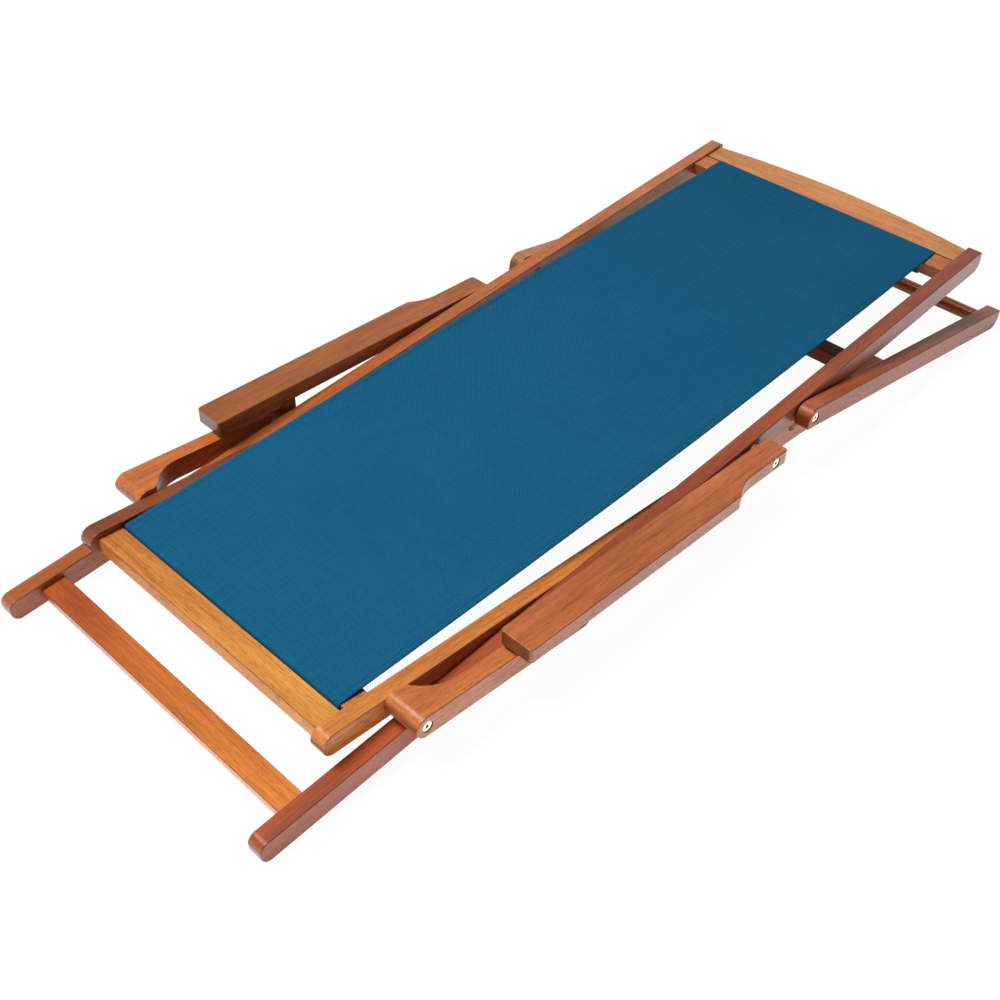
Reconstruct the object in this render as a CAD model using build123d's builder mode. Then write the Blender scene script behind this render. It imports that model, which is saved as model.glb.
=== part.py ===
from build123d import *
import os
from math import asin, atan2, cos, degrees, hypot, radians, sin

# Folding sling deck chair with arms, folded flat and lying on the floor, cloth side up.
# Millimetres. +X runs from the foot end to the head end, +Z is up and -Y is the sitter's left.
# The origin is on the floor, in the middle of the chair's length and width.

# Timber section shared by the rails, the prop and the arm posts
rail_height = 30.0
rail_thickness = 22.0
edge_round = 1.2
foot_round = 12.0
nose_round = 17.0
tip_round = 4.0

# Back frame: two long rails, measured from the main pivot
back_width = 504.0
back_foot_reach = 434.5
back_head_reach = 928.5
back_tilt = 5.1

# Foot stretcher, between the back rails near the floor
foot_bar_width = 33.0
foot_bar_thickness = 14.0
foot_bar_setback = 44.0
foot_bar_drop = 8.5

# Crest rail at the head, bowed along its outer edge
crest_width = 35.0
crest_bow = 16.0
crest_thickness = 18.0
crest_setback = 5.5
crest_drop = 4.0

# Bars that the sling's end loops go round
head_bar_width = 31.0
head_bar_thickness = 20.0
head_bar_drop = 3.0
seat_bar_width = 34.0
seat_bar_thickness = 15.0
seat_bar_drop = 6.0
sling_slot = 3.6

# Seat frame, inside the back frame
seat_front_reach = 327.0
seat_rear_reach = 753.0
frame_gap = 2.0

# Flat golden rail along the front of the seat
front_rail_width = 34.5
front_rail_thickness = 20.0
front_rail_setback = 11.5
front_rail_drop = 8.3

# Rear stretcher of the seat frame
rear_bar_width = 29.0
rear_bar_thickness = 22.0
rear_bar_setback = 16.0
rear_bar_drop = 7.0

# Half-round notches in the seat rails, one for each recline
notch_count = 4
notch_first = 509.0
notch_pitch = 50.0
notch_clearance = 0.4

# Prop frame, hung on the back rails, whose round bar drops into a notch
prop_pivot_reach = 480.0
prop_reach = 520.0
prop_tail = 15.0
prop_gap = 2.0
prop_bar_diameter = 21.0
prop_bar_setback = 27.0

# Arms: flat boards that turn on the back rails
arm_pivot_reach = 375.0
arm_width = 48.5
arm_thickness = 21.0
arm_front_reach = 469.0
arm_rear_reach = 24.0
arm_neck_width = 34.0
arm_neck_length = 75.0
arm_neck_bend = 47.0
arm_shoulder_round = 12.0
arm_gap = 4.0
arm_tilt = -0.8
arm_corner = 5.0

# Cleat under each arm, where the post is bolted
cleat_reach = 355.0
cleat_drop = 32.5
cleat_width = 20.0
cleat_thickness = 9.0
cleat_tenon_width = 14.0
cleat_tenon_length = 10.0

# Arm posts: wide foot bolted to the seat rail, slim above it
post_pivot_reach = 228.5
post_pivot_rise = 6.5
post_gap = 7.0
post_foot_gap = 0.5
post_foot_length = 8.0
post_bend = 58.0
post_shoulder_round = 10.0
post_lap_length = 29.0
post_lift = 5.5
post_tip = 14.0
post_tip_round = 11.0
lap_clearance = 0.3

# Sling of woven cloth, looped round the head bar and the seat bar
sling_width = 402.0
sling_thickness = 1.5
sling_clearance = 0.4

# Pivot bolts with flat socket heads, and their cap nuts
shank_diameter = 8.0
running_clearance = 0.05
head_diameter = 13.2
head_thickness = 2.4
sink_diameter = 15.0
sink_depth = 3.6
socket_width = 4.5
socket_depth = 1.9
nut_thickness = 2.6
nut_bore_depth = 1.4
insert_diameter = 12.0
washer_diameter = 20.0
side_play = 0.2

# Mortise and tenon joints
tenon_length = 10.0
tenon_shoulder = 4.0
tenon_clearance = 0.1

os.makedirs("parts", exist_ok=True)

# Where each layer of timber stands, from the middle outwards
back_out = back_width / 2
back_in = back_out - rail_thickness
seat_out = back_in - frame_gap
seat_in = seat_out - rail_thickness
prop_in = back_out + prop_gap
prop_out = prop_in + rail_thickness
post_in = back_out + post_gap
post_out = post_in + rail_thickness
post_foot_in = seat_out + post_foot_gap
arm_in = back_out + arm_gap
arm_out = arm_in + arm_width
arm_neck_out = arm_in + arm_neck_width
cleat_out = arm_in + cleat_thickness
half_height = rail_height / 2
hole_radius = shank_diameter / 2 + running_clearance
from_face = (Align.CENTER, Align.CENTER, Align.MIN)


def turned(x, z, tilt):
    """Turn a point of a sloping member into the chair's own X and Z directions."""
    slope = radians(tilt)
    return x * cos(slope) - z * sin(slope), x * sin(slope) + z * cos(slope)


# The main pivot's height puts the round of the back rail's foot on the floor
pivot_z = foot_round - turned(foot_round - back_foot_reach, foot_round - half_height, back_tilt)[1]
# The seat frame's slope puts the round of its rear end on the floor
rear_arm = hypot(seat_rear_reach - foot_round, half_height - foot_round)
rear_lead = degrees(atan2(half_height - foot_round, seat_rear_reach - foot_round))
seat_tilt = rear_lead - degrees(asin((pivot_z - foot_round) / rear_arm))
# The prop's slope puts the round of its bar end on the floor
prop_from_pivot = turned(prop_pivot_reach, 0, back_tilt)
prop_z = pivot_z + prop_from_pivot[1]
nose_arm = hypot(prop_reach - nose_round, half_height - nose_round)
nose_lead = degrees(atan2(half_height - nose_round, prop_reach - nose_round))
prop_tilt = nose_lead - degrees(asin((prop_z - nose_round) / nose_arm))
# The main pivot's place along the chair puts the origin in the middle of its length
foot_end = turned(foot_round - back_foot_reach, half_height - foot_round, back_tilt)[0] - foot_round
prop_end = prop_from_pivot[0] + turned(prop_reach - tip_round, half_height - tip_round, prop_tilt)[0] + tip_round
pivot_x = -(foot_end + prop_end) / 2
prop_x = pivot_x + prop_from_pivot[0]

arm_from_pivot = turned(arm_pivot_reach, 0, back_tilt)
arm_x = pivot_x + arm_from_pivot[0]
arm_z = pivot_z + arm_from_pivot[1]
cleat_from_arm = turned(-cleat_reach, -arm_thickness / 2 - cleat_drop, arm_tilt)
cleat_x = arm_x + cleat_from_arm[0]
cleat_z = arm_z + cleat_from_arm[1]
post_from_pivot = turned(-post_pivot_reach, post_pivot_rise, seat_tilt)
post_x = pivot_x + post_from_pivot[0]
post_z = pivot_z + post_from_pivot[1]
post_span = hypot(cleat_x - post_x, cleat_z - post_z)
# The post's middle line passes above the cleat's bolt, so that the folded post lies close under the arm
post_tilt = degrees(atan2(cleat_z - post_z, cleat_x - post_x) + asin(post_lift / post_span))

# Places along the frames, from the main pivot
foot_bar_middle = -back_foot_reach + foot_bar_setback + foot_bar_width / 2
crest_rear = back_head_reach - crest_setback
crest_front = crest_rear - crest_width
head_bar_middle = crest_front - sling_slot - head_bar_width / 2
front_rail_middle = -seat_front_reach + front_rail_setback + front_rail_width / 2
seat_bar_middle = front_rail_middle + front_rail_width / 2 + sling_slot + seat_bar_width / 2
rear_bar_middle = seat_rear_reach - rear_bar_setback - rear_bar_width / 2
foot_bar_level = half_height - foot_bar_drop - foot_bar_thickness / 2
head_bar_level = half_height - head_bar_drop - head_bar_thickness / 2
front_rail_level = half_height - front_rail_drop - front_rail_thickness / 2
seat_bar_level = half_height - seat_bar_drop - seat_bar_thickness / 2
rear_bar_level = half_height - rear_bar_drop - rear_bar_thickness / 2
crest_level = half_height - crest_drop - crest_thickness / 2
prop_bar_middle = prop_reach - prop_bar_setback
notch_radius = prop_bar_diameter / 2 + notch_clearance


def side_plane(x, z, tilt, y):
    """Upright plane at y through (x, z), its x axis along a member's slope and its normal to the left."""
    along = turned(1, 0, tilt)
    return Plane(origin=(x, y, z), x_dir=(along[0], 0, along[1]), z_dir=(0, -1, 0))


def flat_plane(x, z, tilt, rise):
    """Plane along a member's slope, raised above (x, z), its y axis along the chair's Y."""
    along = turned(1, 0, tilt)
    up = turned(0, 1, tilt)
    lifted = (x + rise * up[0], 0, z + rise * up[1])
    return Plane(origin=lifted, x_dir=(along[0], 0, along[1]), z_dir=(up[0], 0, up[1]))


def back_side(y):
    return side_plane(pivot_x, pivot_z, back_tilt, y)


def seat_side(y):
    return side_plane(pivot_x, pivot_z, seat_tilt, y)


def prop_side(y):
    return side_plane(prop_x, prop_z, prop_tilt, y)


def post_side(y):
    return side_plane(post_x, post_z, post_tilt, y)


def draw_member(front, rear, front_low, front_high, rear_low, rear_high):
    """Outline of a rail seen from the side, with a radius for each of its four corners."""
    low = -half_height
    high = half_height
    Line((front + front_low, low), (rear - rear_low, low))
    CenterArc((rear - rear_low, low + rear_low), rear_low, -90, 90)
    if rear_low + rear_high < rail_height:
        Line((rear, low + rear_low), (rear, high - rear_high))
    CenterArc((rear - rear_high, high - rear_high), rear_high, 0, 90)
    Line((rear - rear_high, high), (front + front_high, high))
    CenterArc((front + front_high, high - front_high), front_high, 90, 90)
    if front_low + front_high < rail_height:
        Line((front, high - front_high), (front, low + front_low))
    CenterArc((front + front_low, low + front_low), front_low, 180, 90)


def left_to_right(side, inner, outer):
    """The Y of a layer's right face on the given side, where its outline is drawn."""
    return outer if side > 0 else -inner


def drill(x, y, z, side, length):
    """Plain round hole for a bolt, from the face at y on this side towards the middle."""
    with Locations(Plane(origin=(x, side * y, z), x_dir=(1, 0, 0), z_dir=(0, -side, 0))):
        Cylinder(hole_radius, length, align=from_face, mode=Mode.SUBTRACT)


def sink(x, y, z, side, inward):
    """Shallow round recess for a bolt head or a nut, cut from the face at y."""
    with Locations(Plane(origin=(x, side * y, z), x_dir=(1, 0, 0), z_dir=(0, -side * inward, 0))):
        Cylinder(sink_diameter / 2, sink_depth, align=from_face, mode=Mode.SUBTRACT)


def mortise(plane, side, middle, level, width, thickness):
    """Pocket in a rail's inner face for the tenon of a cross piece."""
    less = 2 * tenon_shoulder - 2 * tenon_clearance
    depth = tenon_length + tenon_clearance
    with Locations(plane * Pos(middle, level, -side * depth / 2)):
        Box(width - less, thickness - less, depth, mode=Mode.SUBTRACT)


def cross_bar(plane_at, middle, level, width, thickness, inner):
    """Stretcher between two rails, with soft edges and a tenon at each end."""
    with BuildPart() as bar:
        with BuildSketch(plane_at(inner)):
            with Locations((middle, level)):
                RectangleRounded(width, thickness, edge_round)
        extrude(amount=2 * inner)
        with BuildSketch(plane_at(inner + tenon_length)):
            with Locations((middle, level)):
                Rectangle(width - 2 * tenon_shoulder, thickness - 2 * tenon_shoulder)
        extrude(amount=2 * (inner + tenon_length))
    return bar.part


def keep(part, name):
    part.label = name
    export_step(part, f"parts/{name}.step")


def back_rail(side):
    """Long rail from the foot, past the main pivot, to the head."""
    with BuildPart() as rail:
        with BuildSketch(back_side(left_to_right(side, back_in, back_out))):
            with BuildLine():
                draw_member(-back_foot_reach, back_head_reach, foot_round, foot_round, nose_round, tip_round)
            make_face()
        extrude(amount=rail_thickness)
        fillet(rail.faces().filter_by(Axis.Y).edges(), edge_round)
        inner_face = back_side(side * back_in)
        mortise(inner_face, side, foot_bar_middle, foot_bar_level, foot_bar_width, foot_bar_thickness)
        mortise(inner_face, side, head_bar_middle, head_bar_level, head_bar_width, head_bar_thickness)
        mortise(inner_face, side, crest_rear - crest_width / 2, crest_level, crest_width, crest_thickness)
        for x, z in ((pivot_x, pivot_z), (arm_x, arm_z), (prop_x, prop_z)):
            drill(x, back_out, z, side, rail_thickness)
        sink(pivot_x, back_out, pivot_z, side, 1)
        sink(arm_x, back_in, arm_z, side, -1)
        sink(prop_x, back_in, prop_z, side, -1)
    return rail.part


def seat_rail(side):
    """Shorter rail inside the back rail: round at the front, notched towards the rear."""
    with BuildPart() as rail:
        with BuildSketch(seat_side(left_to_right(side, seat_in, seat_out))):
            with BuildLine():
                draw_member(-seat_front_reach, seat_rear_reach, half_height, half_height, foot_round, foot_round)
            make_face()
            for number in range(notch_count):
                with Locations((notch_first + number * notch_pitch, half_height)):
                    Circle(notch_radius, mode=Mode.SUBTRACT)
        extrude(amount=rail_thickness)
        fillet(rail.faces().filter_by(Axis.Y).edges(), edge_round)
        inner_face = seat_side(side * seat_in)
        mortise(inner_face, side, front_rail_middle, front_rail_level, front_rail_width, front_rail_thickness)
        mortise(inner_face, side, seat_bar_middle, seat_bar_level, seat_bar_width, seat_bar_thickness)
        mortise(inner_face, side, rear_bar_middle, rear_bar_level, rear_bar_width, rear_bar_thickness)
        for x, z in ((pivot_x, pivot_z), (post_x, post_z)):
            drill(x, seat_out, z, side, rail_thickness)
            sink(x, seat_in, z, side, -1)
    return rail.part


def prop_rail(side):
    """Side of the prop frame, rounded on top at its pivot and below at its bar."""
    with BuildPart() as rail:
        with BuildSketch(prop_side(left_to_right(side, prop_in, prop_out))):
            with BuildLine():
                draw_member(-prop_tail, prop_reach, tip_round, nose_round, nose_round, tip_round)
            make_face()
        extrude(amount=rail_thickness)
        fillet(rail.faces().filter_by(Axis.Y).edges(), edge_round)
        drill(prop_x, prop_out, prop_z, side, rail_thickness)
        sink(prop_x, prop_out, prop_z, side, 1)
        with BuildSketch(prop_side(side * prop_in)):
            with Locations((prop_bar_middle, 0)):
                Circle(prop_bar_diameter / 2 - tenon_shoulder + tenon_clearance)
        extrude(amount=-side * (tenon_length + tenon_clearance), mode=Mode.SUBTRACT)
    return rail.part


def crest_rail():
    """Head rail: straight along the cloth, bowed outwards along the top of the chair."""
    with BuildPart() as crest:
        with BuildSketch(flat_plane(pivot_x, pivot_z, back_tilt, crest_level - crest_thickness / 2)):
            with BuildLine():
                Polyline((crest_rear, -back_in), (crest_front, -back_in), (crest_front, back_in),
                         (crest_rear, back_in))
                ThreePointArc((crest_rear, back_in), (crest_rear + crest_bow, 0), (crest_rear, -back_in))
            make_face()
        extrude(amount=crest_thickness)
        end_faces = crest.faces().filter_by(Axis.Y)
        fillet(crest.edges() - end_faces.edges(), edge_round)
        with BuildSketch(back_side(back_in + tenon_length)):
            with Locations((crest_rear - crest_width / 2, crest_level)):
                Rectangle(crest_width - 2 * tenon_shoulder, crest_thickness - 2 * tenon_shoulder)
        extrude(amount=2 * (back_in + tenon_length))
    return crest.part


def s_bend(start, end, first_round):
    """Two arcs from start to end, both ends running along x, the first with its own radius."""
    run = end[0] - start[0]
    step = end[1] - start[1]
    share = first_round * 2 * abs(step) / (run * run + step * step)
    middle = (start[0] + share * run, start[1] + share * step)
    TangentArc(start, middle, tangent=(1, 0))
    TangentArc(end, middle, tangent=(-1, 0))


def arm(side):
    """Flat arm board, necked in on the outside where it is bolted to the back rail."""
    neck = arm_rear_reach - arm_neck_length
    shoulder = neck - arm_neck_bend
    with BuildPart() as board:
        with BuildSketch(flat_plane(arm_x, arm_z, arm_tilt, -arm_thickness / 2)) as outline:
            with BuildLine():
                Line((shoulder, side * arm_out), (-arm_front_reach, side * arm_out))
                Line((-arm_front_reach, side * arm_out), (-arm_front_reach, side * arm_in))
                Line((-arm_front_reach, side * arm_in), (arm_rear_reach, side * arm_in))
                Line((arm_rear_reach, side * arm_in), (arm_rear_reach, side * arm_neck_out))
                Line((arm_rear_reach, side * arm_neck_out), (neck, side * arm_neck_out))
                s_bend((shoulder, side * arm_out), (neck, side * arm_neck_out), arm_shoulder_round)
            make_face()
            ends = outline.vertices().group_by(Axis.X)
            fillet(ends[0] + ends[-1], arm_corner)
        extrude(amount=arm_thickness)
        faces = board.faces().sort_by(Axis.Z)
        fillet(faces[0].edges() + faces[-1].edges(), edge_round)
        drill(arm_x, arm_neck_out, arm_z, side, arm_neck_width)
        sink(arm_x, arm_neck_out, arm_z, side, 1)
        with BuildSketch(flat_plane(arm_x, arm_z, arm_tilt, -arm_thickness / 2)):
            with Locations((-cleat_reach, side * (arm_in + cleat_out) / 2)):
                Rectangle(cleat_tenon_width + 2 * tenon_clearance,
                          cleat_thickness / 2 + 2 * tenon_clearance)
        extrude(amount=cleat_tenon_length + tenon_clearance, mode=Mode.SUBTRACT)
    return board.part


def arm_cleat(side):
    """Small upright block tenoned into the arm, round below, that carries the post's bolt."""
    top = cleat_drop
    inner = left_to_right(side, arm_in, cleat_out)
    with BuildPart() as cleat:
        with BuildSketch(side_plane(cleat_x, cleat_z, arm_tilt, inner)):
            Circle(cleat_width / 2)
            with Locations((0, top / 2)):
                Rectangle(cleat_width, top)
        extrude(amount=cleat_thickness)
        tenon_side = left_to_right(side, arm_in + cleat_thickness / 4, cleat_out - cleat_thickness / 4)
        with BuildSketch(side_plane(cleat_x, cleat_z, arm_tilt, tenon_side)):
            with Locations((0, top + cleat_tenon_length / 2)):
                Rectangle(cleat_tenon_width, cleat_tenon_length)
        extrude(amount=cleat_thickness / 2)
        with BuildSketch(side_plane(cleat_x, cleat_z, arm_tilt, inner)):
            Circle(insert_diameter / 2 + running_clearance)
        extrude(amount=cleat_thickness, mode=Mode.SUBTRACT)
    return cleat.part


def arm_post(side):
    """Post with a wide foot on the seat rail, an S-bend, and a half lap at the cleat."""
    bend = post_foot_length + post_bend
    lap_start = post_span - post_lap_length
    lap_face = cleat_out + lap_clearance
    beyond = post_span + rail_height
    with BuildPart() as post:
        with BuildSketch(post_side(left_to_right(side, post_foot_in, post_out))):
            with BuildLine():
                draw_member(-half_height, post_span + post_tip,
                            half_height, half_height, post_tip_round, post_tip_round)
            make_face()
        extrude(amount=post_out - post_foot_in)
        with BuildSketch(flat_plane(post_x, post_z, post_tilt, -rail_height)):
            with BuildLine():
                s_bend((post_foot_length, side * post_foot_in), (bend, side * post_in), post_shoulder_round)
                Polyline((bend, side * post_in), (beyond, side * post_in),
                         (beyond, side * seat_in), (post_foot_length, side * seat_in),
                         (post_foot_length, side * post_foot_in))
            make_face()
        extrude(amount=2 * rail_height, mode=Mode.SUBTRACT)
        outer_faces = post.faces().filter_by(Axis.Y)
        fillet(outer_faces.sort_by(Axis.Y)[0 if side < 0 else -1].edges(), edge_round)
        with BuildSketch(flat_plane(post_x, post_z, post_tilt, -rail_height)):
            with Locations(((lap_start + beyond) / 2, side * (seat_in + lap_face) / 2)):
                Rectangle(beyond - lap_start, lap_face - seat_in)
        extrude(amount=2 * rail_height, mode=Mode.SUBTRACT)
        drill(post_x, post_out, post_z, side, post_out - post_foot_in)
        sink(post_x, post_out, post_z, side, 1)
        drill(cleat_x, post_out, cleat_z, side, post_out - lap_face)
        sink(cleat_x, post_out, cleat_z, side, 1)
    return post.part


def bolts(sides, x, z, head_face, tip):
    """Flat-headed bolts, each from a recess at head_face inwards to tip, with a hexagon socket."""
    seat = head_face - sink_depth + side_play
    with BuildPart() as group:
        for side in sides:
            outwards = Plane(origin=(x, side * seat, z), x_dir=(1, 0, 0), z_dir=(0, side, 0))
            with BuildSketch(outwards):
                Circle(head_diameter / 2)
            extrude(amount=head_thickness)
            with BuildSketch(outwards):
                Circle(shank_diameter / 2)
            extrude(amount=tip - seat)
            with BuildSketch(outwards.offset(head_thickness)):
                RegularPolygon(socket_width / 2, 6, major_radius=False)
            extrude(amount=-socket_depth, mode=Mode.SUBTRACT)
    return group.part


def nuts(sides, x, z, face):
    """Cap nuts in the recesses of an inner face, each with a blind bore over a bolt's tip."""
    with BuildPart() as group:
        for side in sides:
            inwards = Plane(origin=(x, side * (face + sink_depth), z), x_dir=(1, 0, 0), z_dir=(0, -side, 0))
            with BuildSketch(inwards):
                Circle(head_diameter / 2)
            extrude(amount=nut_thickness)
            with BuildSketch(inwards):
                Circle(hole_radius)
            extrude(amount=nut_bore_depth, mode=Mode.SUBTRACT)
    return group.part


def rings(sides, x, z, face, thickness, diameter):
    """Plain rings round the bolts of a pivot, each from the Y called face outwards."""
    with BuildPart() as group:
        for side in sides:
            with BuildSketch(Plane(origin=(x, side * face, z), x_dir=(1, 0, 0), z_dir=(0, side, 0))):
                Circle(diameter / 2)
                Circle(hole_radius, mode=Mode.SUBTRACT)
            extrude(amount=thickness)
    return group.part


def nut_tip(face):
    """How far out a bolt's tip stops inside the nut of an inner face."""
    return face + sink_depth - nut_bore_depth + side_play


for side, hand in ((-1, "left"), (1, "right")):
    keep(back_rail(side), f"back_rail_{hand}")
    keep(seat_rail(side), f"seat_rail_{hand}")
    keep(prop_rail(side), f"prop_rail_{hand}")
    keep(arm(side), f"arm_{hand}")
    keep(arm_cleat(side), f"arm_cleat_{hand}")
    keep(arm_post(side), f"arm_post_{hand}")
    keep(bolts((side,), cleat_x, cleat_z, post_out, cleat_out + lap_clearance), f"post_top_bolt_{hand}")
    keep(rings((side,), cleat_x, cleat_z, arm_in, cleat_thickness, insert_diameter), f"cleat_insert_{hand}")

keep(cross_bar(back_side, foot_bar_middle, foot_bar_level, foot_bar_width, foot_bar_thickness, back_in),
     "foot_stretcher")
keep(cross_bar(back_side, head_bar_middle, head_bar_level, head_bar_width, head_bar_thickness, back_in),
     "head_sling_bar")
keep(cross_bar(seat_side, front_rail_middle, front_rail_level, front_rail_width, front_rail_thickness, seat_in),
     "seat_front_rail")
keep(cross_bar(seat_side, seat_bar_middle, seat_bar_level, seat_bar_width, seat_bar_thickness, seat_in),
     "seat_sling_bar")
keep(cross_bar(seat_side, rear_bar_middle, rear_bar_level, rear_bar_width, rear_bar_thickness, seat_in),
     "seat_rear_stretcher")
keep(crest_rail(), "crest_rail")

# Round bar of the prop frame, turned down to a peg at each end
with BuildPart() as prop_bar:
    with BuildSketch(prop_side(prop_in)):
        with Locations((prop_bar_middle, 0)):
            Circle(prop_bar_diameter / 2)
    extrude(amount=2 * prop_in)
    with BuildSketch(prop_side(prop_in + tenon_length)):
        with Locations((prop_bar_middle, 0)):
            Circle(prop_bar_diameter / 2 - tenon_shoulder)
    extrude(amount=2 * (prop_in + tenon_length))
keep(prop_bar.part, "prop_bar")

# Sling: one taut sheet between its two sewn loops
loop_wall = sling_clearance + sling_thickness
head_from_pivot = turned(head_bar_middle, head_bar_level, back_tilt)
seat_from_pivot = turned(seat_bar_middle, seat_bar_level, seat_tilt)
head_lift = turned(0, head_bar_thickness / 2 + sling_clearance + sling_thickness / 2, back_tilt)
seat_lift = turned(0, seat_bar_thickness / 2 + sling_clearance + sling_thickness / 2, seat_tilt)
sheet_head = (pivot_x + head_from_pivot[0] + head_lift[0], pivot_z + head_from_pivot[1] + head_lift[1])
sheet_seat = (pivot_x + seat_from_pivot[0] + seat_lift[0], pivot_z + seat_from_pivot[1] + seat_lift[1])
sheet_length = hypot(sheet_head[0] - sheet_seat[0], sheet_head[1] - sheet_seat[1])
sheet_tilt = degrees(atan2(sheet_head[1] - sheet_seat[1], sheet_head[0] - sheet_seat[0]))
sheet_middle = ((sheet_head[0] + sheet_seat[0]) / 2, (sheet_head[1] + sheet_seat[1]) / 2)
with BuildPart() as sling:
    with BuildSketch(side_plane(0, 0, 0, sling_width / 2)):
        with Locations(sheet_middle):
            Rectangle(sheet_length, sling_thickness, rotation=sheet_tilt)
        for middle, tilt, width, thickness in (
            (head_from_pivot, back_tilt, head_bar_width, head_bar_thickness),
            (seat_from_pivot, seat_tilt, seat_bar_width, seat_bar_thickness),
        ):
            with Locations((pivot_x + middle[0], pivot_z + middle[1])):
                RectangleRounded(width + 2 * loop_wall, thickness + 2 * loop_wall,
                                 edge_round + loop_wall, rotation=tilt)
                RectangleRounded(width + 2 * sling_clearance, thickness + 2 * sling_clearance,
                                 edge_round + sling_clearance, rotation=tilt, mode=Mode.SUBTRACT)
    extrude(amount=sling_width)
keep(sling.part, "sling")

# Bolts, nuts and washers of the four pivots that the two sides share
pivots = (
    ("frame_pivot", pivot_x, pivot_z, back_out, seat_in),
    ("post_foot", post_x, post_z, post_out, seat_in),
    ("prop_pivot", prop_x, prop_z, prop_out, back_in),
    ("arm_pivot", arm_x, arm_z, arm_neck_out, back_in),
)
both = (-1, 1)
for name, x, z, head_face, nut_face in pivots:
    keep(bolts(both, x, z, head_face, nut_tip(nut_face)), f"{name}_bolts")
    keep(nuts(both, x, z, nut_face), f"{name}_nuts")
keep(rings(both, pivot_x, pivot_z, seat_out + side_play, frame_gap - side_play, washer_diameter),
     "frame_pivot_washers")
keep(rings(both, prop_x, prop_z, back_out, prop_gap - side_play, washer_diameter),
     "prop_pivot_washers")
keep(rings(both, arm_x, arm_z, back_out, arm_gap - side_play, washer_diameter),
     "arm_pivot_spacers")
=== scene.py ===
from math import atan2, cos, hypot, pi, radians, sin

import bmesh
import bpy
from mathutils import Matrix, Vector, noise


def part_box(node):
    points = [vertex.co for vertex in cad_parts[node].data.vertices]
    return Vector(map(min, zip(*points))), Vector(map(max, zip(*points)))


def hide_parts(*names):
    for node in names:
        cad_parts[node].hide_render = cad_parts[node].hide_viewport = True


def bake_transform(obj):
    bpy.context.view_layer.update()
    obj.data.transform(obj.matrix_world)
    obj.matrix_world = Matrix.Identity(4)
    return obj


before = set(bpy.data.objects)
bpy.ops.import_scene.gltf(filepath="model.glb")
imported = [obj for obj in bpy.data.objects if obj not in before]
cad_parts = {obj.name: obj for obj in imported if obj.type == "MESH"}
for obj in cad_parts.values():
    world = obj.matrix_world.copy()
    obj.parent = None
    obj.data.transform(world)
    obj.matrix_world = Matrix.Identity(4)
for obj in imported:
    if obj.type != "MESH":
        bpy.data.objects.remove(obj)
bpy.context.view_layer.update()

# Red-brown rails, arms and posts
# Sawn and planed tropical hardwood, round-edged on a router, then dipped in teak oil.
# Each board has its grain along its own length, so its pattern is turned to the board's slope.


def linear(hex_colour):
    """An sRGB hex colour as the linear RGBA that shaders take."""
    channels = [int(hex_colour[at:at + 2], 16) / 255 for at in (1, 3, 5)]
    return [c / 12.92 if c <= 0.04045 else ((c + 0.055) / 1.055) ** 2.4 for c in channels] + [1.0]


def add(tree, kind, inputs=None, **settings):
    """Add a node, with its settings and its inputs, each a value or another node's output."""
    made = tree.nodes.new(kind)
    for key, value in settings.items():
        setattr(made, key, value)
    for key, value in (inputs or {}).items():
        if isinstance(value, bpy.types.NodeSocket):
            tree.links.new(value, made.inputs[key])
        else:
            made.inputs[key].default_value = value
    return made


def paint_ramp(ramp, stops):
    """Fill a colour ramp with stops: a position, a hex colour and how much lighter or darker it is drawn."""
    while len(ramp.color_ramp.elements) < len(stops):
        ramp.color_ramp.elements.new(0.5)
    for element, (position, colour, share) in zip(ramp.color_ramp.elements, stops):
        element.position = position
        element.color = [channel * share for channel in linear(colour)[:3]] + [1.0]
    return ramp


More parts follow.
